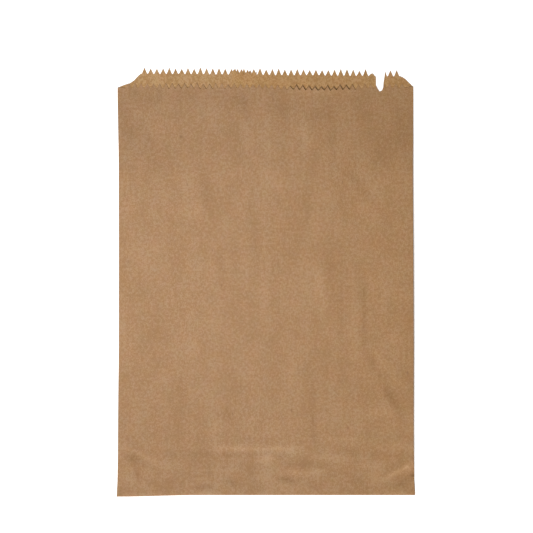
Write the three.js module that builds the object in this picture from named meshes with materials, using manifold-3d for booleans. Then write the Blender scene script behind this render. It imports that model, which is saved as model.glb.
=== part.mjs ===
// Flat paper bag with a serrated mouth, millimetres.
// One sheet of kraft paper is wrapped into a tube, lapped along the back, cut with a stepped
// serrated knife and folded up at the bottom. The bag lies on its back: +X across the bag,
// +Y towards the mouth, +Z up through the front ply.
//
// A place on the flat sheet is (girth, along). girth runs round the tube from the inner free
// edge of the back seam, over the right crease, the front ply and the left crease to the outer
// free edge. along runs from the hem fold, at 0, towards the mouth, and is negative in the hem.
import * as THREE from "three";
import { mergeVertices } from "three/addons/utils/BufferGeometryUtils.js";
import Module from "manifold-3d";

// Sheet and tube
const bagWidth = 200;
const paperThickness = 0.1;
const plyClearance = 0.05;
const seamCentre = -14.2;
const seamOverlap = 16.6;
const seamStepLength = 4;
const bottomNarrowing = 0.2;
const mouthNarrowing = 0.85;

// Stepped serrated cut, the same at the mouth and at the end of the hem
const frontCut = 272.7;
const lipHeight = 10;
const lipLean = -2.05;
const toothPitch = 4.2;
const toothHeight = 4.3;
const frontToothHeight = 3.3;
const frontToothPhase = -58.9;
const outerToothPhase = -81.8;
const innerToothPhase = -3.7;
const leftShoulder = [
  [0, 0.4],
  [3.1, 2.2],
  [8.4, 3.7],
  [11.1, 5.5],
  [15.5, 10.1],
];
const rightShoulder = [
  [0, 0.9],
  [3.3, 3.8],
  [6, 6.5],
  [9.6, 8.1],
];

// Hem, folded up onto the back
const hemLength = 30.8;
const hemRampLength = 9;
const hemSlack = 1.5;
const cornerDrop = 1.05;
const cornerDropWidth = 55;
const cornerDropLength = 60;
const flapNarrowing = 1.24;
const flapNarrowingLength = 18;

// Spring of the side creases and the raised stretch of the front edge
const creaseSpring = 3.45;
const creaseReach = 45;
const pressedLength = 1;
const openingLength = 38;
const middleGap = 0.7;
const middlePressedLength = 27.5;
const middleOpeningLength = 7;
const mouthCreaseShare = 0.55;
const mouthMiddleShare = 0.1;
const mouthCreaseReach = 9;
const mouthSettleLength = 60;
const edgeRise = 1.1;
const edgeRiseCentre = 36;
const edgeRiseWidth = 24;
const edgeRiseLength = 34;
const edgeDip = 1.7;
const edgeDipWidth = 34;

// Tear at the right of the mouth, through both plies: outline from its left rim to its right rim
const tearOutline = [
  [69.9, 281.2],
  [70.9, 282.3],
  [73.3, 282.8],
  [74.7, 280.2],
  [74.8, 274.6],
  [77, 270.2],
  [78.4, 271.4],
  [79.1, 273.4],
  [80, 280.4],
  [80.7, 284.2],
];
const tearMargin = 4;

// Facets
const creaseFacets = 6;
const hemFacets = 6;
const bodyRows = 6;
const middleColumns = 6;

const halfWidth = bagWidth / 2;
const seamLeft = seamCentre - seamOverlap / 2;
const seamRight = seamCentre + seamOverlap / 2;
const rightCrease = halfWidth - seamLeft;
const leftCrease = rightCrease + bagWidth;
const sheetWidth = leftCrease + halfWidth + seamRight;
const plyPitch = paperThickness + plyClearance;
const pressedStack = 3 * paperThickness + 2 * plyClearance;
const hemRadius = (pressedStack + plyClearance) / 2;
const hemArc = Math.PI * hemRadius;
const hemBackLength = hemLength - lipHeight;
const sheetLength = frontCut + toothHeight / 2 + hemArc + hemLength;

// 0 below start, 1 above end, smooth between
function ease(value, start, end) {
  const share = THREE.MathUtils.clamp((value - start) / (end - start), 0, 1);
  return share * share * (3 - 2 * share);
}

// 1 at the centre, falling smoothly to either side
function bell(value, centre, width) {
  return Math.exp(-(((value - centre) / width) ** 2));
}

// How far the front ply stands above its pressed place: high at the creases, low in the middle
function lift(x, along) {
  const settled = ease(along, frontCut - mouthSettleLength, frontCut);
  const opened = ease(along, pressedLength, pressedLength + openingLength);
  const crease = creaseSpring * opened * THREE.MathUtils.lerp(1, mouthCreaseShare, settled);
  const middleOpened = ease(along, middlePressedLength, middlePressedLength + middleOpeningLength);
  const middle = middleGap * middleOpened * THREE.MathUtils.lerp(1, mouthMiddleShare, settled);
  const reach = THREE.MathUtils.lerp(creaseReach, mouthCreaseReach, settled);
  const across = ease(halfWidth - Math.abs(x), 0, reach);
  const wave = bell(x, edgeRiseCentre, edgeRiseWidth);
  const rise = edgeRise * wave * ease(along, frontCut - edgeRiseLength, frontCut);
  return THREE.MathUtils.lerp(crease, middle, across) + rise;
}

// Height of the back over the surface: over the whole hem, over its longer ply, then down
function backLevel(along) {
  const overHem = pressedStack + plyClearance;
  const offBack = ease(along, hemBackLength + hemSlack, hemBackLength + hemRampLength - hemSlack);
  const hemEnd = hemLength + toothHeight / 2 + hemSlack;
  const offFront = ease(along, hemEnd, hemEnd + hemRampLength);
  return overHem - offBack * (overHem - plyPitch) - offFront * plyPitch;
}

// Middle of the front ply above the outside of the back ply
function frontHeight(x, along) {
  return pressedStack - paperThickness / 2 + lift(x, along);
}

// Radius of a side crease at the middle of the paper
function creaseRadius(along) {
  return (frontHeight(halfWidth, along) - paperThickness / 2) / 2;
}

// Middle of the back ply; the inner free edge climbs onto the outer one
function backHeight(girth, along) {
  const x = seamLeft + girth;
  const onSeam = girth < rightCrease ? 1 - ease(x, seamRight + hemSlack, seamRight + hemSlack + seamStepLength) : 0;
  return paperThickness / 2 + onSeam * plyPitch;
}

// Across the bag, the height in the tube and the outward direction, at a place on the sheet
function tubeSection(girth, along) {
  const radius = creaseRadius(along);
  const onRight = girth < (rightCrease + leftCrease) / 2;
  const side = onRight ? 1 : -1;
  const fromCrease = (girth - (onRight ? rightCrease : leftCrease)) * side;
  const arcLength = (Math.PI / 2) * radius;
  const angle = THREE.MathUtils.clamp(fromCrease / radius, -Math.PI / 2, Math.PI / 2);
  const middle = paperThickness / 2 + radius;
  if (Math.abs(fromCrease) < arcLength) {
    const x = halfWidth - arcLength + radius * Math.cos(angle);
    return { x: side * x, w: middle + radius * Math.sin(angle), nx: side * Math.cos(angle), nw: Math.sin(angle) };
  }
  const x = side * (halfWidth - Math.abs(fromCrease));
  const w = fromCrease > 0 ? frontHeight(x, along) : backHeight(girth, along);
  return { x, w, nx: 0, nw: Math.sign(fromCrease) };
}

// Sheets are never quite square: the right side runs in towards the mouth, and the hem flap narrows
function narrowed(x, along) {
  const upward = THREE.MathUtils.clamp(along / frontCut, 0, 1);
  const loss = bottomNarrowing + mouthNarrowing * upward * upward;
  const flapLoss = flapNarrowing * ease(-along, 0, flapNarrowingLength);
  return x - (x / bagWidth + 0.5) * loss - (x / bagWidth) * flapLoss;
}

// The tube's own (x, along, w) carried round the hem fold to where it lies
function foldHem(tubeX, along, w) {
  const x = narrowed(tubeX, along);
  const reach = plyClearance / 2 + w;
  const hingeLevel = backLevel(0) - plyClearance / 2;
  const lean = cornerDrop * ease(-x, halfWidth - cornerDropWidth, halfWidth);
  if (along >= 0) {
    const drop = lean * (1 - ease(along, 0, cornerDropLength));
    return [x, along - drop, backLevel(along) + w];
  }
  const turn = Math.min(-along / hemRadius, Math.PI);
  const beyond = Math.max(-along - hemArc, 0);
  return [x, beyond - reach * Math.sin(turn) - lean, hingeLevel + reach * Math.cos(turn)];
}

function sheetPoint(girth, along, face) {
  const section = tubeSection(girth, along);
  const offset = (face * paperThickness) / 2;
  return foldHem(section.x + offset * section.nx, along, section.w + offset * section.nw);
}

// One serrated stretch of the cut, given by its ends across the bag; tips and roots alternate
function serration(from, to, phase, height, rootAt, girthAt) {
  const points = [];
  const half = toothPitch / 2;
  const first = Math.ceil((Math.min(from, to) - phase) / half + 0.2);
  const last = Math.floor((Math.max(from, to) - phase) / half - 0.2);
  for (let i = first; i <= last; i++) {
    const x = phase + i * half;
    const tip = i % 2 === 0;
    points.push({ girth: girthAt(x), along: rootAt(x) + (tip ? height : 0), kind: tip ? "tip" : "root" });
  }
  return points.sort((a, b) => a.girth - b.girth);
}

// The whole cut at the mouth, in order of girth
function mouthCut() {
  const lipRoot = (x) => frontCut + lipHeight + (lipLean * (x + halfWidth)) / bagWidth;
  const innerAt = (x) => x - seamLeft;
  const frontAt = (x) => rightCrease + halfWidth - x;
  const outerAt = (x) => leftCrease + halfWidth + x;
  const plain = (girth, along) => ({ girth, along, kind: "plain" });
  const innerEnd = halfWidth - rightShoulder.at(-1)[0];
  const outerStart = leftShoulder.at(-1)[0] - halfWidth;
  const frontEnd = halfWidth - 4;
  const frontRoot = (x) => frontCut - edgeDip * bell(x, edgeRiseCentre, edgeDipWidth);
  const points = [plain(0, lipRoot(seamLeft) + toothHeight / 2)];
  points.push(...serration(seamLeft, innerEnd, innerToothPhase, toothHeight, lipRoot, innerAt));
  rightShoulder.toReversed().forEach(([x, y]) => points.push(plain(innerAt(halfWidth - x), frontCut + y)));
  points.push(...serration(frontEnd, -frontEnd, frontToothPhase, frontToothHeight, frontRoot, frontAt));
  leftShoulder.forEach(([x, y]) => points.push(plain(outerAt(x - halfWidth), frontCut + y)));
  points.push(...serration(outerStart, seamRight, outerToothPhase, toothHeight, lipRoot, outerAt));
  points.push(plain(sheetWidth, lipRoot(seamRight) + toothHeight / 2));
  return points;
}

// Columns of the inner rows: the creases turn with their own radius, the plies stay straight
function columnsAt(along) {
  const radius = creaseRadius(along);
  const arc = (crease) =>
    Array.from({ length: creaseFacets + 1 }, (_, i) => crease + (i / creaseFacets - 0.5) * Math.PI * radius);
  const straight = (from, to, count) =>
    Array.from({ length: count }, (_, i) => THREE.MathUtils.lerp(from, to, (i + 0.5) / count));
  const nearCrease = [4, creaseReach / 4, creaseReach / 2, (3 * creaseReach) / 4, creaseReach];
  const seamEnd = seamRight - seamLeft;
  return [
    0,
    seamEnd / 2,
    seamEnd,
    seamEnd + hemSlack,
    seamEnd + hemSlack + seamStepLength / 2,
    seamEnd + hemSlack + seamStepLength,
    ...nearCrease.toReversed().map((d) => rightCrease - d),
    ...arc(rightCrease),
    ...nearCrease.map((d) => rightCrease + d),
    ...straight(rightCrease + creaseReach, leftCrease - creaseReach, middleColumns),
    ...nearCrease.toReversed().map((d) => leftCrease - d),
    ...arc(leftCrease),
    ...nearCrease.map((d) => leftCrease + d),
    sheetWidth - seamOverlap,
    sheetWidth,
  ];
}

// Where the inner rows lie along the sheet
function rowPlaces() {
  const rows = [-hemArc - hemBackLength + toothHeight + hemSlack];
  for (let i = hemFacets; i >= 0; i--) rows.push((-hemArc * i) / hemFacets);
  const backRamp = [hemBackLength + hemSlack, hemBackLength + hemRampLength - hemSlack];
  const frontRamp = hemLength + toothHeight / 2 + hemSlack;
  rows.push(pressedLength, (pressedLength + backRamp[0]) / 2, backRamp[0], middlePressedLength, backRamp[1]);
  rows.push(frontRamp, frontRamp + hemRampLength / 2, frontRamp + hemRampLength);
  const from = frontRamp + hemRampLength;
  const to = frontCut - edgeRiseLength;
  for (let i = 1; i <= bodyRows; i++) rows.push(from + ((to - from) * i) / bodyRows);
  rows.push(frontCut - edgeRiseLength / 2, frontCut - edgeDip - toothHeight);
  return rows;
}

const places = [];
const triangles = [];

function addPlace(girth, along) {
  places.push({ girth, along });
  return places.length - 1;
}

// Triangles between two rows of places, the second one further along the sheet
function joinRows(near, far) {
  let i = 0;
  let j = 0;
  while (i < near.length - 1 || j < far.length - 1) {
    const nextNear = i < near.length - 1 ? places[near[i + 1]].girth : Infinity;
    const nextFar = j < far.length - 1 ? places[far[j + 1]].girth : Infinity;
    if (nextNear <= nextFar) triangles.push([near[i], near[++i], far[j]]);
    else triangles.push([near[i], far[j + 1], far[j++]]);
  }
}

// A cut edge: its straight row carries the inner rows, and each tooth is a triangle on that row
function cutEdge(shift, toothKind) {
  const all = mouthCut().map((p) => ({ index: addPlace(p.girth, p.along + shift), kind: p.kind }));
  all.forEach((p, i) => {
    if (p.kind !== toothKind) return;
    const tooth = [all[i - 1].index, all[i + 1].index, p.index];
    triangles.push(toothKind === "tip" ? tooth : tooth.toReversed());
  });
  return { edge: all.map((p) => p.index), row: all.filter((p) => p.kind !== toothKind).map((p) => p.index) };
}

const mouth = cutEdge(0, "tip");
const hemEnd = cutEdge(-sheetLength, "root");
const innerRows = rowPlaces().map((along) => columnsAt(along).map((girth) => addPlace(girth, along)));
const rows = [hemEnd.row, ...innerRows, mouth.row];
rows.slice(1).forEach((row, i) => joinRows(rows[i], row));

// Two faces of the paper and the rim that closes them
const positions = [];
places.forEach((p) => positions.push(...sheetPoint(p.girth, p.along, 1), ...sheetPoint(p.girth, p.along, -1)));
const index = [];
triangles.forEach(([a, b, c]) => {
  index.push(2 * a, 2 * c, 2 * b);
  index.push(2 * a + 1, 2 * b + 1, 2 * c + 1);
});
const rim = [
  ...hemEnd.edge,
  ...innerRows.map((row) => row.at(-1)),
  ...mouth.edge.toReversed(),
  ...innerRows.toReversed().map((row) => row[0]),
];
rim.forEach((a, i) => {
  const b = rim[(i + 1) % rim.length];
  index.push(2 * a, 2 * b, 2 * b + 1);
  index.push(2 * a, 2 * b + 1, 2 * a + 1);
});

const wasm = await Module();
wasm.setup();

function solidFrom(geometry) {
  const merged = mergeVertices(geometry, 1e-4);
  return new wasm.Manifold(
    new wasm.Mesh({
      numProp: 3,
      vertProperties: merged.attributes.position.array,
      triVerts: new Uint32Array(merged.index.array),
    }),
  );
}

function sheetSolid() {
  const geometry = new THREE.BufferGeometry();
  geometry.setAttribute("position", new THREE.Float32BufferAttribute(positions, 3));
  geometry.setIndex(index);
  return solidFrom(geometry);
}

// Prism through both plies that takes the torn piece away
function tearSolid() {
  const top = frontCut + lipHeight + toothHeight + tearMargin;
  const shape = new THREE.Shape();
  shape.moveTo(tearOutline[0][0], top);
  tearOutline.forEach(([x, y]) => shape.lineTo(x, y));
  shape.lineTo(tearOutline.at(-1)[0], top);
  const depth = 2 * tearMargin + creaseSpring + edgeRise;
  const geometry = new THREE.ExtrudeGeometry(shape, { depth, bevelEnabled: false });
  geometry.deleteAttribute("normal");
  geometry.deleteAttribute("uv");
  geometry.translate(0, 0, -tearMargin);
  return solidFrom(geometry);
}

const torn = sheetSolid().subtract(tearSolid()).getMesh();
const geometry = new THREE.BufferGeometry();
geometry.setAttribute("position", new THREE.BufferAttribute(torn.vertProperties, 3));
geometry.setIndex(new THREE.BufferAttribute(torn.triVerts, 1));
geometry.computeBoundingBox();
geometry.computeVertexNormals();

const paper = new THREE.MeshStandardMaterial({ color: 0xb08a66, roughness: 0.85, metalness: 0 });
const bag = new THREE.Mesh(geometry, paper);
bag.name = "paper_bag";

// The origin is on the surface, under the middle of the bag
const box = geometry.boundingBox;
bag.position.set(-(box.min.x + box.max.x) / 2, -(box.min.y + box.max.y) / 2, -box.min.z);

const group = new THREE.Group();
group.add(bag);
export default group;
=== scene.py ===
import math

import bpy
import numpy as np
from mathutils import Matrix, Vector


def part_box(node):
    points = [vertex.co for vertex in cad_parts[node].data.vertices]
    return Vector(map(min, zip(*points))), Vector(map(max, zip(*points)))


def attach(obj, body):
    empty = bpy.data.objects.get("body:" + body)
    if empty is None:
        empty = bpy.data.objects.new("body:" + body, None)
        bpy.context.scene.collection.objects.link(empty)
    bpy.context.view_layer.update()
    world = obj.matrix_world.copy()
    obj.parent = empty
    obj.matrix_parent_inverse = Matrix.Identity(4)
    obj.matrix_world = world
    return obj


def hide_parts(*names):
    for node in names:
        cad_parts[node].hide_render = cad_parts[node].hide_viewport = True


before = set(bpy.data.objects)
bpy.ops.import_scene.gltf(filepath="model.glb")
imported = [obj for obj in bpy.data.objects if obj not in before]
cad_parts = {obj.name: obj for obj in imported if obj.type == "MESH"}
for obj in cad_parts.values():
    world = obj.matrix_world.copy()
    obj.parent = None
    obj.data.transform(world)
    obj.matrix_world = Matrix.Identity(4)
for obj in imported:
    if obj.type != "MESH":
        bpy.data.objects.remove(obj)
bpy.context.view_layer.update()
mm = 0.001

bag = {
    "width": 200.1,
    # how far each side of the sheet runs in, as (along, loss); negative along is in the hem flap
    "rightRun": [(-33, 1.15), (-10, 0.85), (0, 0.2), (10, 0.72), (23, 0.62), (37, 0.5), (63, 0.4),
                 (97, 0.2), (130, 0.3), (164, 0.45), (198, 0.68), (231, 0.89), (251, 1.15), (275, 1.35)],
    "leftRun": [(-33, 0.6), (-10, 0.3), (0, -0.35), (10, 0.14), (23, 0.14), (40, -0.05), (63, 0.02),
                (97, 0.28), (164, 0.33), (198, 0.26), (251, 0.27), (275, 0.2)],
    "paper": 0.1,
    "film": 0.05,              # air or paste between plies that lie together
    "seamLeft": -22.5,         # where the lap of the back seam starts and ends across the bag
    "seamRight": -5.9,
    "seamStep": 4.0,           # over what width the back settles beside the seam
    "hemLength": 30.8,
    "hemRamp": 9.0,            # over what length the back comes down past the hem, and from how far past
    "hemSlack": 1.5,
    "cornerDrop": 1.05,        # how far the left bottom corner hangs out of square, and over what area
    "cornerDropWidth": 55.0,
    "cornerDropLength": 60.0,
}

cut = {
    "front": 272.7,            # from the hem fold to the roots of the front teeth
    "lip": 9.75,               # reach of the back ply past the front at the left, and what the right adds
    "lipLean": -2.05,
    "pitch": 4.2,
    "height": 4.35,            # of the back ply's teeth, then of the front ply's
    "frontHeight": 3.3,
    "dip": 1.7,                # how far the front edge dips where it curls up, and over what width
    "dipWidth": 34.0,
    "leftDip": 0.5,            # a second, shallow dip and its place
    "leftDipCentre": -50.0,
    "leftDipWidth": 36.0,
    "curlLoss": 0.35,          # share of a front tooth that the curl hides, and over what width
    "curlWidth": 11.0,
    "rootFlat": 0.07,          # half the flat between two teeth, as a share of the pitch
    "endRoom": 0.35,           # room that a stretch keeps at each end, as a share of the pitch
    "frontEnds": 4.0,          # the front teeth stop this far from the creases
    "seamRise": 2.0,           # height of the cut above the roots at the seam's two edges
    "frontPhase": -58.9,       # where one tooth of each stretch has its tip
    "outerPhase": -81.8,
    "innerPhase": -3.7,
    # the slanting cut at each side, as (in from the crease, above the front's roots)
    "leftShoulder": [(0, 0.3), (1.1, 1.1), (3.1, 2.0), (5.7, 2.4), (6.5, 2.9), (6.9, 2.7), (8.4, 3.1),
                     (11.1, 4.9), (13.8, 7.8), (15.5, 9.7)],
    "rightShoulder": [(0, 0.9), (1.3, 2.2), (3.3, 3.8), (6.0, 6.5), (8.7, 7.9), (9.6, 7.8)],
    "sideSpread": 0.22,        # how far tips stray sideways, tips upwards and roots upwards
    "heightSpread": 0.32,
    "rootSpread": 0.12,
    "tear": [(69.9, 281.0), (70.9, 281.9), (72.2, 282.5), (73.3, 282.4), (73.9, 281.2), (74.7, 280.0),
             (74.75, 277.5), (74.8, 274.4), (75.9, 272.1), (77.2, 270.2), (78.7, 271.0), (79.5, 273.0),
             (79.85, 276.6), (80.5, 280.4), (80.75, 283.0), (80.9, 285.5)],
}

spring = {
    "crease": 3.45,            # how far the side creases spring open
    "creaseShape": 0.3,        # width of an open crease's bend as a share of a half circle's
    "bendRadii": (0.3, 1.2),   # radii between which a half circle becomes that shape
    "spreadFrom": 60.0,        # the plies take up what the bend gives from here outwards
    "middle": 0.7,             # how far the middle stands up, and from how far in
    "reach": 45.0,
    "openings": [(0.68, 4, 40), (0.32, 30, 110)],   # share of the spring and where it opens along
    "middlePressed": 27.5,     # the middle stays down on the hem and rises past its end
    "middleOpening": 24.0,
    "mouthLength": 60.0,       # the creases close again over this length below the mouth
    "mouthClose": 0.035,       # how much nearer than the film the plies lie at the mouth
    "seamClear": (9.0, 15.0),  # away from the seam's middle the front ply comes down by the lap
    "mouthReach": 5.0,         # how far the creases hold the plies apart at the mouth
    "edgeFlat": 0.03,          # share of the middle's rise that is left at the front edge
    "edgeRises": [(17, 59, 9, 0.4), (-68, -33, 14, 0.12)],   # from, to, softness, height at the front edge
    "edgeCentre": 36.0,
    "edgeLength": 34.0,
    # how far the cut edge curls up, how much more where it is raised, and over what length
    "curl": 0.01,
    "curlOfRise": 0.6,
    "curlLength": 3.5,
}

rng = np.random.default_rng(4823)
half = bag["width"] / 2
rightCrease = half - bag["seamLeft"]
leftCrease = rightCrease + bag["width"]
sheetWidth = leftCrease + half + bag["seamRight"]
plyPitch = bag["paper"] + bag["film"]
stack = 3 * bag["paper"] + 2 * bag["film"]
hemRadius = (stack + bag["film"]) / 2
hemArc = math.pi * hemRadius
sheetLength = cut["front"] + cut["height"] / 2 + hemArc + bag["hemLength"]


# 0 below start, 1 above end, and the cubic 3s^2 - 2s^3 of the share s between them
def ease(value, start, end):
    share = np.clip((value - start) / (end - start), 0, 1)
    return share * share * (3 - 2 * share)


# exp of minus the squared distance from centre in widths
def bell(value, centre, width):
    return np.exp(-(((value - centre) / width) ** 2))


# Points of one serrated stretch: roots and tips alternate every half pitch, each tip moved a little
def serration(start, end, phase, tooth, root):
    pitch = cut["pitch"]
    first = math.ceil((start - phase) / pitch + cut["endRoom"])
    last = math.floor((end - phase) / pitch - cut["endRoom"])
    count = np.arange(first, last + 1)
    tip = phase + count * pitch + rng.normal(0, cut["sideSpread"], count.size)
    high = tooth(tip) + rng.normal(0, cut["heightSpread"], count.size)
    foot = (0.5 - cut["rootFlat"]) * pitch
    before = phase + count * pitch - foot
    behind = phase + count * pitch + foot
    low = rng.normal(0, cut["rootSpread"], (2, count.size))
    x = np.stack([before, tip, behind], axis=1)
    y = np.stack([root(before) + low[0], root(tip) + high, root(behind) + low[1]], axis=1)
    return x.ravel(), y.ravel()


# Height of the roots of the back ply's teeth: a straight line that leans down to the right
def lipRoot(x):
    return cut["front"] + cut["lip"] + cut["lipLean"] * (x + half) / bag["width"]


# Height of the roots of the front ply's teeth: level, with a dip where the edge curls up
def frontRoot(x):
    curlDip = cut["dip"] * bell(x, spring["edgeCentre"], cut["dipWidth"])
    leftDip = cut["leftDip"] * bell(x, cut["leftDipCentre"], cut["leftDipWidth"])
    return cut["front"] - curlDip - leftDip


# Height of the front ply's teeth: lower in the middle of the curl
def frontTooth(x):
    return cut["frontHeight"] * (1 - cut["curlLoss"] * bell(x, spring["edgeCentre"], cut["curlWidth"]))


# Height of the back ply's teeth: the same everywhere
def backTooth(x):
    return cut["height"] + 0 * x


# The cut round the whole tube as a polyline of girth and height, with or without the tear
def cutPolyline(torn):
    frontEnd = half - cut["frontEnds"]
    frontX, frontY = serration(-frontEnd, frontEnd, cut["frontPhase"], frontTooth, frontRoot)
    outerX, outerY = serration(-half + cut["leftShoulder"][-1][0], bag["seamRight"], cut["outerPhase"],
                               backTooth, lipRoot)
    innerX, innerY = serration(bag["seamLeft"], half - cut["rightShoulder"][-1][0], cut["innerPhase"],
                               backTooth, lipRoot)
    rightX, rightY = np.array(cut["rightShoulder"]).T
    leftX, leftY = np.array(cut["leftShoulder"]).T
    innerX = np.concatenate([[bag["seamLeft"]], innerX, half - rightX[::-1]])
    innerStart = lipRoot(bag["seamLeft"]) + cut["seamRise"]
    outerEnd = lipRoot(bag["seamRight"]) + cut["seamRise"]
    innerY = np.concatenate([[innerStart], innerY, cut["front"] + rightY[::-1]])
    outerX = np.concatenate([leftX - half, outerX, [bag["seamRight"]]])
    outerY = np.concatenate([cut["front"] + leftY, outerY, [outerEnd]])
    if torn:
        tearX, tearY = np.array(cut["tear"]).T
        innerX, innerY = tearPly(innerX, innerY, tearX, tearY)
        order = np.argsort(frontX)
        frontX, frontY = tearPly(frontX[order], frontY[order], tearX, tearY)
    order = np.argsort(-frontX)
    girth = np.concatenate([innerX - bag["seamLeft"], rightCrease + half - frontX[order],
                            leftCrease + half + outerX])
    return girth, np.concatenate([innerY, frontY[order], outerY])


# The lower of a ply's own edge and the tear, over the tear's width
def tearPly(x, y, tearX, tearY):
    places = np.sort(np.concatenate([x, tearX]))
    own = np.interp(places, x, y)
    tear = np.interp(places, tearX, tearY)
    within = (places >= tearX[0]) & (places <= tearX[-1])
    return places, np.where(within, np.minimum(own, tear), own)


# Columns in a ply at each tooth's tip and feet, with the tear's corners
def plyColumns(start, end, phase, extra=()):
    pitch = cut["pitch"]
    foot = 0.5 - cut["rootFlat"]
    count = np.arange(math.floor((start - phase) / pitch), math.ceil((end - phase) / pitch) + 1)
    places = (phase + pitch * (count[:, None] + np.array([-foot, 0, foot]))).ravel()
    places = places[(places > start + grid["edgeGap"]) & (places < end - grid["edgeGap"])]
    extra = np.asarray(extra, float)
    extra = extra[(extra > start) & (extra < end)]
    if extra.size:
        near = np.min(np.abs(places[:, None] - extra[None, :]), axis=1) < grid["columnGap"]
        places = np.concatenate([places[~near], extra])
    return np.sort(places)


# How far the front edge is raised: flat-topped stretches with soft ends
def edgeWave(x):
    wave = 0 * x
    for start, end, soft, height in spring["edgeRises"]:
        up = ease(x, start - soft / 2, start + soft / 2)
        down = ease(x, end - soft / 2, end + soft / 2)
        wave = wave + height * up * (1 - down)
    return wave


# How far the front ply stands above its pressed place: the sides' rise eased into the middle's,
# both closing towards the mouth, plus the waves of the front edge
def lift(x, along):
    mouth = ease(along, cut["front"] - spring["mouthLength"], cut["front"])
    opened = sum(share * ease(along, start, end) for share, start, end in spring["openings"])
    sides = spring["crease"] * opened * (1 - mouth)
    middleFree = spring["middlePressed"] + spring["middleOpening"]
    middle = spring["middle"] * ease(along, spring["middlePressed"], middleFree)
    middle = middle * (1 - (1 - spring["edgeFlat"]) * mouth)
    reach = spring["reach"] + (spring["mouthReach"] - spring["reach"]) * mouth
    share = ease(half - np.abs(x), 0, reach)
    rise = edgeWave(x) * ease(along, cut["front"] - spring["edgeLength"], cut["front"])
    offSeam = ease(np.abs(x - (bag["seamLeft"] + bag["seamRight"]) / 2), *spring["seamClear"])
    pressed = (plyPitch * offSeam + spring["mouthClose"]) * mouth * share
    return sides + (middle - sides) * share + rise - pressed


# How far the hem's shorter ply reaches: the hem less the lip, or less the shoulders where they are lower
def hemBack(x):
    leftX, leftY = np.array(cut["leftShoulder"]).T
    rightX, rightY = np.array(cut["rightShoulder"]).T
    shoulders = np.minimum(np.interp(x + half, leftX, leftY), np.interp(half - x, rightX, rightY))
    return bag["hemLength"] - np.minimum(shoulders, lipRoot(x) - cut["front"])


# Height of the back: over the whole hem, over its longer ply, then down on the surface
def backLevel(along, x):
    overHem = stack + bag["film"]
    start = hemBack(x) + bag["hemSlack"]
    offBack = ease(along, start, start + bag["hemRamp"] - 2 * bag["hemSlack"])
    hemEnd = bag["hemLength"] + cut["height"] / 2 + bag["hemSlack"]
    offFront = ease(along, hemEnd, hemEnd + bag["hemRamp"])
    return overHem - offBack * (overHem - plyPitch) - offFront * plyPitch


# Radius of an open crease: half the height between the middles of the two plies
def creaseRadius(along):
    return (stack - bag["paper"] + lift(np.float64(half), along)) / 2


# Place and outward direction in the flattened tube: two flat plies joined by half ellipses
def tubeSection(girth, along):
    radius = creaseRadius(along)
    onRight = girth < (rightCrease + leftCrease) / 2
    side = np.where(onRight, 1.0, -1.0)
    fromCrease = (girth - np.where(onRight, rightCrease, leftCrease)) * side
    arc = math.pi / 2 * radius
    angle = np.clip(fromCrease / radius, -math.pi / 2, math.pi / 2)
    bent = np.abs(fromCrease) < arc
    squeeze = 1 - (1 - spring["creaseShape"]) * ease(radius, *spring["bendRadii"])
    spread = (1 - squeeze) * radius
    flatX = half - np.abs(fromCrease)
    flatX = side * (flatX + spread * ease(flatX, spring["spreadFrom"], half - arc))
    settle = bag["seamRight"] + bag["hemSlack"]
    onSeam = (girth < rightCrease) * (1 - ease(bag["seamLeft"] + girth, settle, settle + bag["seamStep"]))
    frontW = stack - bag["paper"] / 2 + lift(flatX, along) + frontRelief(flatX, along)
    backW = bag["paper"] / 2 + onSeam * plyPitch
    flatW = np.where(fromCrease > 0, frontW, backW)
    x = np.where(bent, side * (half - arc + spread + squeeze * radius * np.cos(angle)), flatX)
    w = np.where(bent, bag["paper"] / 2 + radius + radius * np.sin(angle), flatW)
    steep = np.hypot(np.cos(angle) / squeeze, np.sin(angle))
    nx = np.where(bent, side * np.cos(angle) / squeeze / steep, 0.0)
    nw = np.where(bent, np.sin(angle) / steep, np.sign(fromCrease))
    return x, w, nx, nw


# How far a side runs in at a place along the bag: straight lines between the listed places
def runIn(along, side):
    places, loss = np.array(bag[side]).T
    return np.interp(along, places, loss)


# The tube carried round the hem fold: straight above it, half a turn round it, straight below it
def foldHem(x, along, w):
    reach = bag["film"] / 2 + w
    fromLeft = x / bag["width"] + 0.5
    x = x - fromLeft * runIn(along, "rightRun") + (1 - fromLeft) * runIn(along, "leftRun")
    lean = bag["cornerDrop"] * ease(-x, half - bag["cornerDropWidth"], half)
    turn = np.clip(-along / hemRadius, 0, math.pi)
    beyond = np.maximum(-along - hemArc, 0)
    above = along >= 0
    y = np.where(above, along - lean * (1 - ease(along, 0, bag["cornerDropLength"])),
                 beyond - reach * np.sin(turn) - lean)
    foldLevel = backLevel(0.0, 0.0) - bag["film"] / 2
    z = np.where(above, backLevel(along, x) + w, foldLevel + reach * np.cos(turn))
    return np.stack([x, y, z], axis=-1)


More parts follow.
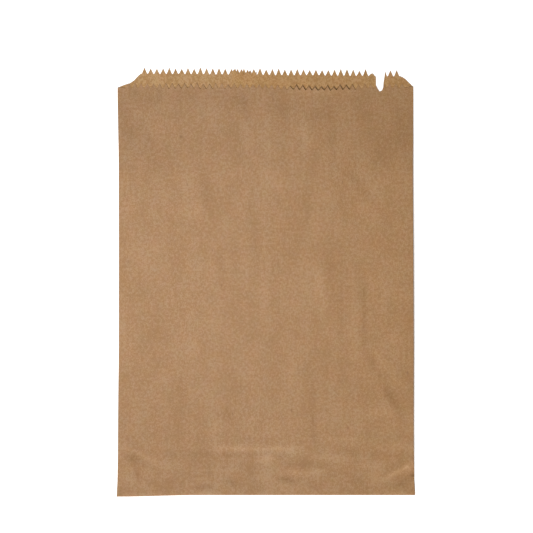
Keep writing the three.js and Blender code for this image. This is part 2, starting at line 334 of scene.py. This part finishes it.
relief = {
    "cockles": [(17.0, 0.030, 0.0), (11.3, 0.022, 1.7), (7.9, 0.012, 0.6)],   # width, height, phase
    "cockleSway": 2.5,         # how far a cockle sways sideways, and over what length
    "cockleSwayLength": 61.0,
    "cockleStart": (36, 70),   # where cockles come in above the hem, from the creases and go before the mouth
    "cockleSide": (2, 14),
    "cockleEnd": (235, 266),
    "paintedLightStep": 0.02,           # how much lighter one grade of painted light makes the paper
    "paintedLightWidth": 1.1,           # width of the painted light and shade in half widths of its crease
    "facetRise": 1.33,         # rise of a facet of slope 1 in half widths
    "longSlope": 5,            # where the long slope ends, in half widths
    "softEnd": 0.2,            # share of a crease's length that fades at each end
    # soft creases of the front ply: both ends, half width, slope across, grade of painted light (minus is
    # painted shade)
    # lengths are millimetres across the bag and along it from the hem fold
    "strokes": [
        # dark band under the left of the mouth: a soft slope and painted shade
        ((-94.4, 267.0), (-16.9, 266.0), 6, -0.016, -3),
        # painted highlight under the raised part of the front edge, where its curl catches the light, and
        # painted shade below it
        ((14.0, 270.0), (62.0, 270.0), 1.3, 0, 2),
        ((5.0, 260.0), (75.0, 260.0), 9, 0, -1),
        # short folds under the seam and to its right
        ((-14.0, 264.4), (-13.4, 252.0), 2.2, -0.088, -5),
        ((-2.0, 258.6), (0.0, 231.5), 3, 0.08, 1),
        ((14.1, 258.7), (12.7, 237.9), 2.5, -0.056, -2),
        ((27.5, 250.8), (26.8, 238.8), 3.5, 0.096, 3),
        ((44.2, 256.9), (45.6, 232.7), 3, -0.06, -2),
        # dents of the upper half
        ((0.7, 213.4), (7.4, 208.0), 4, 0.028, 2),
        ((-40.5, 207.4), (-40.5, 194.7), 4, -0.056, -6),
        ((-8.7, 194.4), (-7.4, 137.3), 2.5, -0.044, 0),
        ((52.8, 218.6), (74.9, 193.1), 2.5, -0.064, -3),
        # long soft ridge right of the middle
        ((34.0, 191.7), (27.3, 172.5), 3.5, 0.044, 3),
        ((24.2, 165.9), (34.9, 145.8), 3.5, 0.044, -1),
        ((35.5, 147.1), (40.2, 110.2), 4, 0.056, 4),
        ((33.4, 168.9), (31.5, 156.2), 2.5, -0.04, -3),
        ((31.7, 74.3), (31.7, 36.7), 2, -0.088, -4),
        ((-25.5, 54.8), (-24.8, 47.8), 2.5, -0.072, -3),
        # crease at the right, down and then slanting to the edge
        ((65.6, 138.4), (65.6, 95.8), 2.3, -0.168, -5),
        ((66.3, 97.5), (85.7, 61.9), 2.6, -0.052, -2),
        ((70.7, 97.3), (93.5, 70.5), 2.4, 0.048, 2),
        ((81.2, 67.8), (87.3, 60.2), 2.7, -0.06, -7),
        ((65.1, 53.5), (81.2, 54.8), 2, 0.04, 6),
        ((65.7, 63.5), (67.8, 36.7), 2, -0.088, 0),
        # faint upright marks and patches of painted light and shade
        ((-56.2, 114.5), (-56.2, 47.4), 2.5, 0, -2),
        ((33.5, 118.0), (33.5, 88.0), 2.5, 0, -1),
        ((-31.0, 161.0), (-31.0, 141.0), 2.5, 0, -4),
        ((96.5, 52.0), (97.5, 40.0), 2, 0, 9),
        ((42.0, 37.0), (56.0, 36.0), 3, 0, 5),
        # broad shade over the lower left
        ((-105.0, 52.0), (-45.0, 44.0), 26, 0, -2),
        ((-105.0, 12.0), (-50.0, 10.0), 10, 0, -2),
        # end of the hem showing through as a ridge, with painted light along it
        ((-29.0, 30.6), (13.9, 30.6), 2, 0.08, 8),
        ((12.4, 28.9), (53.4, 24.9), 3, 0.044, 6),
        ((-0.6, 23.5), (3.4, 25.6), 2.6, 0.06, 9),
        ((9.9, 20.6), (40.7, 19.9), 1.7, -0.068, 1),
        ((8.5, 14.3), (43.4, 15.7), 1.8, 0.052, 3),
        ((67.6, 19.2), (72.9, 19.2), 2, 0.06, 3),
        # broad shade at the left of the hem
        ((-92.2, 8.4), (-40.2, 6.4), 9, -0.01, 1),
        # dents next to the fold
        ((-45.1, 4.5), (-37.7, 5.8), 1.8, -0.096, -8),
        ((-24.7, 9.8), (-21.4, 5.8), 1.8, -0.112, -6),
        ((9.9, 10.1), (17.9, 9.4), 2, -0.096, -6),
        ((29.1, 6.7), (34.5, 4.0), 2, -0.088, -3),
        ((55.6, 9.0), (63.6, 8.4), 2, -0.06, 0),
        ((83.4, 6.7), (90.1, 6.0), 2.5, -0.06, 2),
        # corners where the creases open
        ((81.4, 11.2), (99.9, 21.6), 1.5, 0.18, 14),
        ((88.1, 5.7), (99.5, 12.7), 2.4, -0.104, -4),
        ((-97.2, 34.0), (-77.1, 24.0), 1.5, 0.088, 3),
        ((-92.8, 27.4), (-76.4, 18.5), 2.6, -0.06, -4),
        ((-89.2, 25.5), (-86.0, 12.1), 2.6, -0.08, -6),
    ],
}


# Places along and across the line from a to b, and a share that falls off past both soft ends
def strokePlace(x, along, a, b, width):
    a = np.array(a, float)
    b = np.array(b, float)
    length = np.hypot(*(b - a))
    direction = (b - a) / length
    run = (x - a[0]) * direction[0] + (along - a[1]) * direction[1]
    off = (x - a[0]) * -direction[1] + (along - a[1]) * direction[0]
    soft = relief["softEnd"] * length
    beyond = np.maximum(np.abs(run - length / 2) - length / 2 + soft, 0) / (soft + width)
    return off, np.exp(-beyond * beyond)


# A soft crease: a narrow facet that rises across the line, then a long slope back down
def strokeRise(x, along, a, b, width, slope):
    off, share = strokePlace(x, along, a, b, width)
    off = off * math.copysign(1, slope)
    rise = abs(slope) * width * relief["facetRise"]
    return rise * ease(off, -width, width) * (1 - ease(off, width, relief["longSlope"] * width)) * share


# Painted light and shade of all the creases: how much lighter or darker each place is, a bell across each
# line
def creaseLightShade(x, along):
    total = np.zeros(np.broadcast(x, along).shape)
    for start, end, width, slope, lightGrade in relief["strokes"]:
        off, share = strokePlace(x, along, start, end, width)
        total = total + lightGrade * relief["paintedLightStep"] * bell(off, 0, relief["paintedLightWidth"] * width) * share
    return total * (along > 0)


# Relief of the front ply: cockles as sine waves across that sway down the bag, and the soft creases
def frontRelief(x, along):
    fade = ease(along, *relief["cockleStart"]) * (1 - ease(along, *relief["cockleEnd"]))
    fade = fade * ease(half - np.abs(x), *relief["cockleSide"])
    total = np.zeros(np.broadcast(x, along).shape)
    for width, height, phase in relief["cockles"]:
        sway = relief["cockleSway"] * np.sin(along / relief["cockleSwayLength"] + phase * 2)
        total = total + height * (1 + np.sin(2 * math.pi * (x + sway) / width + phase)) * fade
    for start, end, width, slope, lightGrade in relief["strokes"]:
        total = total + strokeRise(x, along, start, end, width, slope)
    return total * (along > 0)


# Rows and columns of the bag's mesh
grid = {
    "straightEnds": 4.2,       # straight columns stop this far from a crease
    "bendColumns": 13,         # columns round a crease, with one more just past each end of its arc
    "bendGuard": 1.08,
    "columnGap": 0.25,         # a tooth's column nearer than this to a corner of the tear gives way to it
    "edgeGap": 0.3,            # and none is nearer than this to the end of its ply
    "hemTeeth": (0, 1 / 3, 2 / 3),
    "flapRows": 7,
    "foldRows": 9,
    "hemRows": (1.1, 44, 1.1),        # from, to, step
    "bodyRows": (45, 252, 75),        # from, to, count
    "lipRows": 8,
    "mouthTeeth": (0.3, 0.55, 0.75, 0.9, 1),
    "toothBase": 1.0,          # rows of the teeth start this far below the lowest cut near them
    "leastTooth": 0.4,
    "lowSteps": 14,            # the lowest cut is looked for this many steps to each side
    "lowStep": 0.25,
    "lowSmooth": 12,           # and smoothed over this many
    "lowRise": 0.2,
    "lowPast": 8.0,            # from this far outside the sheet's sides
}


# Both faces of the paper from a grid of places on the sheet, with the painted light and shade of each place
def buildSheet():
    tornGirth, tornAlong = cutPolyline(True)
    wholeGirth, wholeAlong = cutPolyline(False)
    tearX = [p[0] for p in cut["tear"]]
    guard = grid["bendGuard"]
    bend = np.concatenate([[-guard], np.linspace(-1, 1, grid["bendColumns"]), [guard]])
    plyEnd = half - grid["straightEnds"]
    innerX = plyColumns(bag["seamLeft"], plyEnd, cut["innerPhase"], tearX)
    frontX = plyColumns(-plyEnd, plyEnd, cut["frontPhase"], tearX)[::-1]
    outerX = plyColumns(-plyEnd, bag["seamRight"], cut["outerPhase"])
    # a column is a straight girth, or a place in a crease whose arc grows with its radius
    kinds = [("edge", 0.0)]
    kinds += [("straight", x - bag["seamLeft"]) for x in innerX]
    kinds += [("right", v) for v in bend]
    kinds += [("straight", rightCrease + half - x) for x in frontX]
    kinds += [("left", v) for v in bend]
    kinds += [("straight", leftCrease + half + x) for x in outerX]
    kinds += [("edge", sheetWidth)]
    value = np.array([v for k, v in kinds])
    rightArc = np.array([k == "right" for k, v in kinds])
    leftArc = np.array([k == "left" for k, v in kinds])
    base = np.where(rightArc, rightCrease, np.where(leftArc, leftCrease, value))
    arcs = (rightArc | leftArc) * value * math.pi / 2
    top = np.interp(base, tornGirth, tornAlong)
    bottom = np.interp(base, wholeGirth, wholeAlong) - sheetLength
    mouthLow = smoothLow(base, tornGirth, tornAlong) - grid["toothBase"]
    hemHigh = smoothHigh(base, wholeGirth, wholeAlong) - sheetLength + grid["toothBase"]
    mouthBase = np.minimum(mouthLow, top - grid["leastTooth"])
    hemBase = np.maximum(hemHigh, bottom + grid["leastTooth"])
    along = placeRows(sheetRows(), bottom, hemBase, mouthBase, top)
    girth = base[None, :] + arcs[None, :] * creaseRadius(along)
    x, w, nx, nw = tubeSection(girth, along)
    curlEnds = cut["frontEnds"]
    onFront = (girth > rightCrease + curlEnds) & (girth < leftCrease - curlEnds)
    curl = onFront * (spring["curl"] + spring["curlOfRise"] * edgeWave(x))
    w = w + curl * (1 - ease(top[None, :] - along, 0, spring["curlLength"]))
    offset = bag["paper"] / 2
    outer = foldHem(x + offset * nx, along, w + offset * nw)
    inner = foldHem(x - offset * nx, along, w - offset * nw)
    onFront = (girth > rightCrease) & (girth < leftCrease)
    return girth, along, outer, inner, creaseLightShade(x, along) * onFront


# Lowest height of the cut near each place, then smoothed, but at most a little above the lowest
def smoothLow(places, girth, along):
    side = grid["lowSteps"]
    smooth = grid["lowSmooth"]
    fine = np.arange(-grid["lowPast"], sheetWidth + grid["lowPast"], grid["lowStep"])
    line = np.interp(fine, girth, along)
    window = np.lib.stride_tricks.sliding_window_view(np.pad(line, side, mode="edge"), 2 * side + 1)
    low = window.min(axis=1)
    kernel = np.hanning(2 * smooth + 1)
    soft = np.convolve(np.pad(low, smooth, mode="edge"), kernel / kernel.sum(), mode="valid")
    return np.interp(places, fine, np.minimum(soft, low + grid["lowRise"]))


# The same for the highest places of the hem's cut
def smoothHigh(places, girth, along):
    return -smoothLow(places, girth, -along)


# Where the straight rows lie: close over the hem, wider up the bag
def sheetRows():
    fold = np.linspace(-hemArc, 0, grid["foldRows"])
    return np.concatenate([fold, np.arange(*grid["hemRows"]), np.linspace(*grid["bodyRows"])])


# All rows: teeth and flap of the hem, the straight rows, then the lip and the teeth of the mouth
def placeRows(straight, bottom, hemBase, mouthBase, top):
    def between(low, high, shares):
        return low + (high - low) * np.array(shares)[:, None]

    hemTeeth = between(bottom, hemBase, grid["hemTeeth"])
    flap = between(hemBase, straight[0], np.linspace(0, 1, grid["flapRows"] + 1)[:-1])
    middle = straight[:, None] * np.ones_like(bottom)[None, :]
    lip = between(straight[-1], mouthBase, np.linspace(0, 1, grid["lipRows"] + 1)[1:])
    mouthTeeth = between(mouthBase, top, grid["mouthTeeth"])
    return np.concatenate([hemTeeth, flap, middle, lip, mouthTeeth])


# Puts a mesh object in the scene from vertices in millimetres and quads
def addMesh(name, vertices, quads):
    mesh = bpy.data.meshes.new(name)
    mesh.vertices.add(len(vertices))
    mesh.vertices.foreach_set("co", (vertices * mm).astype(np.float32).ravel())
    mesh.loops.add(quads.size)
    mesh.loops.foreach_set("vertex_index", quads.astype(np.int32).ravel())
    mesh.polygons.add(len(quads))
    mesh.polygons.foreach_set("loop_start", np.arange(0, quads.size, 4, dtype=np.int32))
    mesh.polygons.foreach_set("use_smooth", np.ones(len(quads), bool))
    mesh.update(calc_edges=True)
    mesh.validate()
    obj = bpy.data.objects.new(name, mesh)
    bpy.context.scene.collection.objects.link(obj)
    return obj


# One closed mesh: both faces of the paper and the rim between them, set on the frame's own bag
girth, along, outer, inner, creaseLighting = buildSheet()
rowCount, columnCount = girth.shape
number = np.arange(rowCount * columnCount).reshape(rowCount, columnCount)
second = rowCount * columnCount
a, b, c, d = number[:-1, :-1], number[:-1, 1:], number[1:, 1:], number[1:, :-1]
outerQuads = np.stack([a, d, c, b], axis=-1).reshape(-1, 4)
innerQuads = np.stack([a, b, c, d], axis=-1).reshape(-1, 4) + second
loop = np.concatenate([number[0, :], number[1:, -1], number[-1, -2::-1], number[-2:0:-1, 0]])
after = np.roll(loop, -1)
rimQuads = np.stack([loop, after, after + second, loop + second], axis=-1)
vertices = np.concatenate([outer.reshape(-1, 3), inner.reshape(-1, 3)])
cadLow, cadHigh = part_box("paper_bag")
own = np.array([vertices.min(axis=0), vertices.max(axis=0)]) * mm
shift = np.array([
    (cadLow[0] + cadHigh[0] - own[0][0] - own[1][0]) / 2,
    cadLow[1] - own[0][1],
    cadLow[2] - own[0][2],
]) / mm
vertices = vertices + shift
quads = np.concatenate([outerQuads, innerQuads, rimQuads])
kraftBag = addMesh("kraft_bag", vertices, quads)
print("bag mesh:", rowCount, "rows,", columnCount, "columns,", 2 * len(quads), "triangles")

kraft = {
    "base": (0.375, 0.213, 0.106),
    "light": (0.4225, 0.258, 0.1425),
    "dark": (0.3335, 0.184, 0.0845),
    "insideTint": (1.17, 1.165, 1.01),
    # painted light and shade on the inside: paler at the left of the mouth and darker towards the right,
    # where less light falls: tint there, loss, and where it changes
    "insideLeftLight": 1.1,
    "insideRightShade": 0.35,
    "insideShadeFrom": (-60, 10),
    "rightShadeTint": (1.0, 0.962, 0.85),       # painted shade: the right is darker and warmer, as less light reaches it: from none to full, in metres round the sheet
    "rightShadeAcross": (0.24, 0.11),
    # slow drifts of hue, from reddish to greenish and from ochre to pale
    "rust": (1.03, 0.987, 0.983),
    "grey": (0.97, 1.013, 1.017),
    "ochre": (1.0, 1.0, 0.93),
    "pale": (1.0, 1.0, 1.07),
    "fleck": (0.20, 0.105, 0.05),
    "fleckShare": 0.35,
    "paintedLightTint": (0.78, 1.0, 1.4),   # painted light is a little less yellow than the rest, painted shade a little more yellow
    "speck": (0.2798, 0.2400, 0.0),   # the one dark speck's girth and height on the sheet, in metres
    "speckSize": 0.0014,
    "speckShare": 0.6,
    "roughness": 0.82,
    "roughSpread": 0.12,
    # noises on the sheet: scale, stretch up the bag, detail, roughness
    "noises": {
        "cloud": (130, 1.2, 2, 0.5),
        "patch": (48, 1.5, 1, 0.5),
        "grain": (520, 1.0, 2, 0.7),
        "fibre": (1500, 1.5, 2, 0.8),
        "rib": (75, 5, 1, 0.5),
        "dents": (70, 1.0, 2, 0.5),
        "hue": (110, 1.2, 2, 0.6),
        "blue": (150, 1.2, 2, 0.7),
        "fleck": (260, 2.2, 1, 0.5),
    },
    "mottle": {"cloud": 0.4, "patch": 0.35, "grain": 1.45, "fibre": 1.45, "rib": 0.3},
    "feltMarks": {"grain": 0.8, "fibre": 0.35, "rib": 0.35},
    "dents": 0.9,              # more mottle over the hem only, in metres up the sheet
    "dentsAlong": (0.036, 0.028),
    "insideMottle": 2.3,       # how much stronger the mottle is on the inside
    "bump": 0.25,
    "bumpDepth": 0.00006,
}

sheetU = np.concatenate([girth.ravel(), girth.ravel()]) * mm
sheetV = np.concatenate([along.ravel(), along.ravel()]) * mm
uvMap = kraftBag.data.uv_layers.new(name="sheet")
loopVertex = np.zeros(len(kraftBag.data.loops), np.int32)
kraftBag.data.loops.foreach_get("vertex_index", loopVertex)
sheetUv = np.stack([sheetU[loopVertex], sheetV[loopVertex]], axis=-1)
uvMap.data.foreach_set("uv", sheetUv.astype(np.float32).ravel())
insideFace = kraftBag.data.attributes.new("inside", "FLOAT", "POINT")
# painted light and shade on the inside face: paler at the left, darker towards the right
insideLight = kraft["insideLeftLight"] - kraft["insideRightShade"] * ease(outer[..., 0].ravel(), *kraft["insideShadeFrom"])
insideFace.data.foreach_set("value", np.concatenate([0 * insideLight, insideLight]).astype(np.float32))
# painted light and shade along the creases, on the outer face only
rubbed = kraftBag.data.attributes.new("rubbed", "FLOAT", "POINT")
rubbed.data.foreach_set("value", np.concatenate([creaseLighting.ravel(), 0 * creaseLighting.ravel()]).astype(np.float32))
kraftBag.data.set_sharp_from_angle(angle=math.radians(50))


# Wraps one output socket of a node tree, so that maths on it adds nodes
class Field:
    def __init__(self, tree, socket):
        self.tree = tree
        self.socket = socket

    def math(self, operation, *values):
        return makeNode(self.tree, "ShaderNodeMath", {"operation": operation}, dict(enumerate(values)))

    def __add__(self, other):
        return self.math("ADD", self, other)

    def __radd__(self, other):
        return self.math("ADD", other, self)

    def __sub__(self, other):
        return self.math("SUBTRACT", self, other)

    def __rsub__(self, other):
        return self.math("SUBTRACT", other, self)

    def __mul__(self, other):
        return self.math("MULTIPLY", self, other)

    def __rmul__(self, other):
        return self.math("MULTIPLY", other, self)


# Adds one node: its settings first, then the values or links of its sockets; gives its output
def makeNode(tree, kind, settings=None, values=None, output=0):
    node = tree.nodes.new(kind)
    for key, setting in (settings or {}).items():
        if key == "stops":
            ramp = node.color_ramp
            while len(ramp.elements) < len(setting):
                ramp.elements.new(0.5)
            for element, (position, colour) in zip(ramp.elements, setting):
                element.position = position
                element.color = (*colour, 1)
        else:
            setattr(node, key, setting)
    for key, value in (values or {}).items():
        if isinstance(value, Field):
            tree.links.new(value.socket, node.inputs[key])
        else:
            node.inputs[key].default_value = value
    return Field(tree, node.outputs[output])


# Mixes two colours by a factor, or multiplies them
def mixColour(tree, factor, first, second, blend="MIX"):
    return makeNode(tree, "ShaderNodeMix", {"data_type": "RGBA", "blend_type": blend},
                    {0: factor, 6: first, 7: second}, 2)


# 0 where a value is at the first limit and 1 at the second, straight between them
def mapRange(tree, value, start, end):
    return makeNode(tree, "ShaderNodeMapRange", {}, {"Value": value, "From Min": start, "From Max": end})


# Kraft paper on the sheet's own coordinates: cloudy formation, fibres along the web, few flecks
def kraftMaterial():
    material = bpy.data.materials.new("kraft_paper")
    material.use_nodes = True
    tree = material.node_tree
    tree.nodes.clear()
    sheet = makeNode(tree, "ShaderNodeUVMap", {"uv_map": "sheet"})
    inside = makeNode(tree, "ShaderNodeAttribute", {"attribute_name": "inside"}, {}, 2)
    rubbed = makeNode(tree, "ShaderNodeAttribute", {"attribute_name": "rubbed"}, {}, 2)

    def noise(scale, stretch, detail, rough):
        place = makeNode(tree, "ShaderNodeMapping", {}, {"Vector": sheet, "Scale": (1, 1 / stretch, 1)})
        return makeNode(tree, "ShaderNodeTexNoise", {"noise_dimensions": "2D"},
                        {"Vector": place, "Scale": scale, "Detail": detail, "Roughness": rough})

    noises = {name: noise(*values) for name, values in kraft["noises"].items()}

    # sum of the named noises about their middle, each times its share
    def swings(shares):
        return sum((noises[name] - 0.5) * share for name, share in shares.items())

    across = makeNode(tree, "ShaderNodeSeparateXYZ", {}, {"Vector": sheet})
    up = makeNode(tree, "ShaderNodeSeparateXYZ", {}, {"Vector": sheet}, 1)
    overHem = mapRange(tree, up, *kraft["dentsAlong"])
    mottle = swings(kraft["mottle"]) + (noises["dents"] - 0.5) * overHem * kraft["dents"]
    tone = mottle * (inside * kraft["insideMottle"] + 1) + 0.5
    stops = [(0.15, kraft["dark"]), (0.5, kraft["base"]), (0.85, kraft["light"])]
    shade = makeNode(tree, "ShaderNodeValToRGB", {"stops": stops}, {"Fac": tone})
    for name, first, second in (("hue", "rust", "grey"), ("blue", "ochre", "pale")):
        drift = mapRange(tree, noises[name], 0.2, 0.8)
        hueTint = mixColour(tree, drift, (*kraft[first], 1), (*kraft[second], 1))
        shade = mixColour(tree, 1.0, shade, hueTint, "MULTIPLY")
    # painted shade: the right of the sheet darker and warmer, where less light falls
    rightShaded = mixColour(tree, 1.0, shade, (*kraft["rightShadeTint"], 1), "MULTIPLY")
    shade = mixColour(tree, mapRange(tree, across, *kraft["rightShadeAcross"]), shade, rightShaded)
    spots = mapRange(tree, noises["fleck"], 0.82, 0.87)
    shade = mixColour(tree, spots * kraft["fleckShare"], shade, (*kraft["fleck"], 1))
    away = makeNode(tree, "ShaderNodeVectorMath", {"operation": "DISTANCE"}, {0: sheet, 1: kraft["speck"]}, 1)
    speck = mapRange(tree, away, kraft["speckSize"], 0.0)
    shade = mixColour(tree, speck * kraft["speckShare"], shade, (*kraft["fleck"], 1))
    # the inside face's tint, scaled by the painted light and shade across it
    tint = mixColour(tree, inside, (1, 1, 1, 1), (*kraft["insideTint"], 1))
    colour = mixColour(tree, 1.0, shade, tint, "MULTIPLY")
    # painted light and shade along the creases: lighter and less yellow where lit, darker and more yellow in
    # shade
    paintedLightTint = makeNode(tree, "ShaderNodeVectorMath", {"operation": "SCALE"}, {0: kraft["paintedLightTint"], "Scale": rubbed})
    colour = makeNode(tree, "ShaderNodeVectorMath", {"operation": "MULTIPLY_ADD"},
                      {0: colour, 1: paintedLightTint, 2: colour})
    bump = makeNode(tree, "ShaderNodeBump", {},
                    {"Strength": kraft["bump"], "Distance": kraft["bumpDepth"],
                     "Height": swings(kraft["feltMarks"])})
    roughness = kraft["roughness"] + (noises["grain"] - 0.5) * kraft["roughSpread"]
    shader = makeNode(tree, "ShaderNodeBsdfPrincipled", {}, {
        "Base Color": colour, "Roughness": roughness, "Normal": bump, "Specular IOR Level": 0.3})
    out = tree.nodes.new("ShaderNodeOutputMaterial")
    tree.links.new(shader.socket, out.inputs["Surface"])
    return material


kraftBag.data.materials.append(kraftMaterial())
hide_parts("paper_bag")
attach(kraftBag, "root")
sheetWidth * mm
sheetLength * mm
print("kraft paper material done")

studio = {
    "framePixels": 533,
    "pixel": 0.6709,           # millimetres on the surface for one pixel of the picture
    "centreAcross": 0.40,      # millimetres from the bag's middle to the picture's
    "bottomPixel": 496.6,      # row of the picture where the bag ends
    "lens": 100.0,
    "sensor": 36.0,
    "floor": (0.93, 0.93, 0.93),
    "floorSize": 12.0,
    "floorGlow": 0.45,
    "floorGap": 0.02,          # millimetres under the bag
    "sky": 0.045,
    # soft lights: place and size in metres, power
    "key": ((-0.55, -3.30, 2.18), 0.50, 163.0),
    "top": ((-0.09, 0.02, 0.31), 0.25, 0.66),
}


# A pale square, flat under the bag
def makeFloor():
    side = studio["floorSize"] / 2
    mesh = bpy.data.meshes.new("floor")
    level = float(cadLow[2]) - studio["floorGap"] * mm
    corners = [(-side, -side, level), (side, -side, level), (side, side, level), (-side, side, level)]
    mesh.from_pydata(corners, [], [(0, 1, 2, 3)])
    obj = bpy.data.objects.new("floor", mesh)
    bpy.context.scene.collection.objects.link(obj)
    material = bpy.data.materials.new("floor_white")
    material.use_nodes = True
    shader = material.node_tree.nodes["Principled BSDF"]
    shader.inputs["Base Color"].default_value = (*studio["floor"], 1)
    shader.inputs["Roughness"].default_value = 0.9
    shader.inputs["Emission Color"].default_value = (1, 1, 1, 1)
    shader.inputs["Emission Strength"].default_value = studio["floorGlow"]
    mesh.materials.append(material)


# A soft square light at a place in metres, turned to the middle of the bag
def makeLight(name, place, size, power):
    data = bpy.data.lights.new(name, "AREA")
    data.shape = "SQUARE"
    data.size = size
    data.energy = power
    obj = bpy.data.objects.new(name, data)
    obj.location = place
    obj.rotation_euler = (-Vector(place)).to_track_quat("-Z", "Y").to_euler()
    bpy.context.scene.collection.objects.link(obj)


# Looks straight down, as high as the lens needs for the picture's width on the surface
def makeCamera():
    frameSize = studio["framePixels"] * studio["pixel"] * mm
    distance = frameSize * studio["lens"] / studio["sensor"]
    data = bpy.data.cameras.new("camera")
    data.lens = studio["lens"]
    data.sensor_width = studio["sensor"]
    obj = bpy.data.objects.new("camera", data)
    middle = float(cadLow[1]) + (studio["bottomPixel"] - studio["framePixels"] / 2) * studio["pixel"] * mm
    obj.location = (studio["centreAcross"] * mm, middle, distance)
    bpy.context.scene.collection.objects.link(obj)
    bpy.context.scene.camera = obj


makeFloor()
makeCamera()
makeLight("key", *studio["key"])
makeLight("top", *studio["top"])
world = bpy.data.worlds.new("studio")
world.use_nodes = True
world.node_tree.nodes["Background"].inputs["Color"].default_value = (1, 1, 1, 1)
world.node_tree.nodes["Background"].inputs["Strength"].default_value = studio["sky"]
bpy.context.scene.world = world
bpy.context.scene.view_settings.view_transform = "Standard"
print("studio done")
